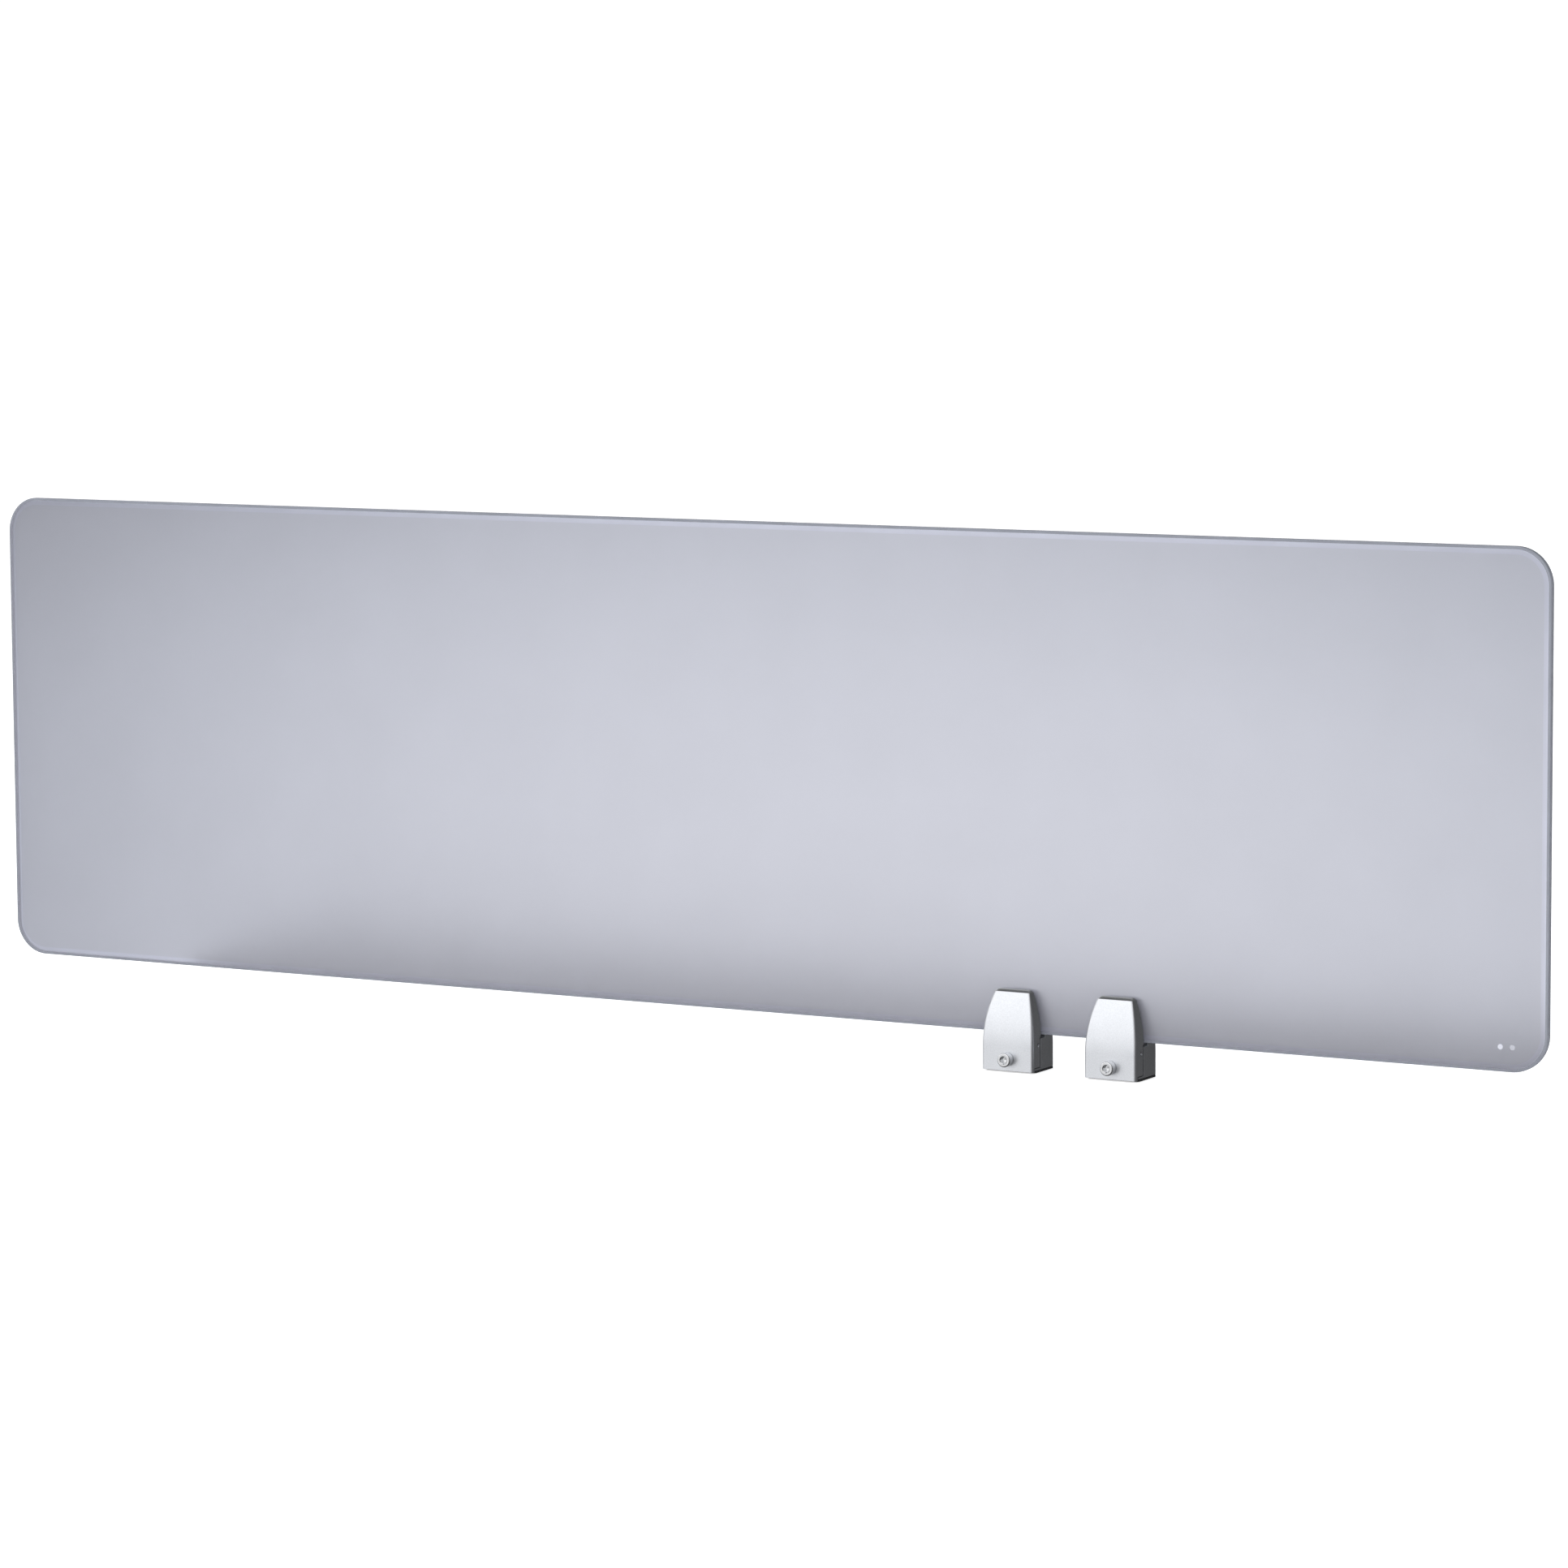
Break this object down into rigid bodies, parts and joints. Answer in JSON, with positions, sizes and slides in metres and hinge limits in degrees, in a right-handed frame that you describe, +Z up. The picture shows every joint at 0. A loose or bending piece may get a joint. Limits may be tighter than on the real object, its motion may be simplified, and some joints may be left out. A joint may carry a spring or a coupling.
{
  "type": "desk privacy panel",
  "caption": "Frosted acrylic desk screen with rounded corners, held upright along its lower edge by tapered cast clamps whose hex-socket screws pinch the sheet.",
  "frame": {"origin": "on the desk surface, under the middle of the sheet's length and thickness", "axes": "+X along the sheet to the right seen from the front, -Y towards the front where the clamp screws are, +Z up"},
  "size_m": [1.65, 0.0498, 0.4912],
  "materials": {
    "frosted_acrylic": "frosted on both faces, polished edges",
    "cast_body": "satin silver, fine grain",
    "cast_jaw": "satin silver, fine grain",
    "steel_screw": "bright zinc plated",
    "steel_pin": "ground",
    "steel_shoe": "turned",
    "steel_seat": "hardened, dark",
    "brass_insert": "turned",
    "grip_rubber": "matt, fine ribs",
    "rest_rubber": "matt",
    "base_rubber": "matt, fine pebble grain"
  },
  "bodies": {
    "panel": {"panel_sheet": "frosted_acrylic"},
    "left_clamp": {"left_clamp_body": "cast_body", "left_rear_grip_pad": "grip_rubber", "left_panel_rest": "rest_rubber", "left_thrust_seat": "steel_seat", "left_base_pad": "base_rubber", "left_desk_insert_1": "brass_insert", "left_desk_insert_2": "brass_insert"},
    "left_jaw": {"left_front_jaw": "cast_jaw", "left_front_grip_pad": "grip_rubber", "left_thread_insert": "brass_insert", "left_pivot_pin": "steel_pin"},
    "left_shoe": {"left_thrust_shoe": "steel_shoe"},
    "left_screw": {"left_clamp_screw": "steel_screw"},
    "right_clamp": {"right_clamp_body": "cast_body", "right_rear_grip_pad": "grip_rubber", "right_panel_rest": "rest_rubber", "right_thrust_seat": "steel_seat", "right_base_pad": "base_rubber", "right_desk_insert_1": "brass_insert", "right_desk_insert_2": "brass_insert"},
    "right_jaw": {"right_front_jaw": "cast_jaw", "right_front_grip_pad": "grip_rubber", "right_thread_insert": "brass_insert", "right_pivot_pin": "steel_pin"},
    "right_shoe": {"right_thrust_shoe": "steel_shoe"},
    "right_screw": {"right_clamp_screw": "steel_screw"}
  },
  "joints": [
    {"name": "left_clamp_slide", "type": "slide", "parent": "panel", "child": "left_clamp", "axis": [1, 0, 0], "range_m": [-1.067, 0.02]},
    {"name": "left_jaw_pivot", "type": "hinge", "parent": "left_clamp", "child": "left_jaw", "pos_m": [0.307, -0.0105, 0.025], "axis": [1, 0, 0], "range_deg": [0, 3.67]},
    {"name": "left_shoe_slide", "type": "slide", "parent": "left_jaw", "child": "left_shoe", "axis": [0, -1, 0], "range_m": [0, 0.00085]},
    {"name": "left_screw_turn", "type": "hinge", "parent": "left_shoe", "child": "left_screw", "pos_m": [0.307, -0.0066, 0.012], "axis": [0, -1, 0], "range_deg": [0, 240]},
    {"name": "right_clamp_slide", "type": "slide", "parent": "panel", "child": "right_clamp", "axis": [1, 0, 0], "range_m": [-0.02, 0.349]},
    {"name": "right_jaw_pivot", "type": "hinge", "parent": "right_clamp", "child": "right_jaw", "pos_m": [0.411, -0.0105, 0.025], "axis": [1, 0, 0], "range_deg": [0, 3.67]},
    {"name": "right_shoe_slide", "type": "slide", "parent": "right_jaw", "child": "right_shoe", "axis": [0, -1, 0], "range_m": [0, 0.00085]},
    {"name": "right_screw_turn", "type": "hinge", "parent": "right_shoe", "child": "right_screw", "pos_m": [0.411, -0.0066, 0.012], "axis": [0, -1, 0], "range_deg": [0, 240]}
  ],
  "couplings": [
    {"joint": "left_screw_turn", "follows": "left_jaw_pivot", "ratio": 65.345},
    {"joint": "left_shoe_slide", "follows": "left_jaw_pivot", "m_per_rad": 0.013},
    {"joint": "right_screw_turn", "follows": "right_jaw_pivot", "ratio": 65.345},
    {"joint": "right_shoe_slide", "follows": "right_jaw_pivot", "m_per_rad": 0.013}
  ]
}
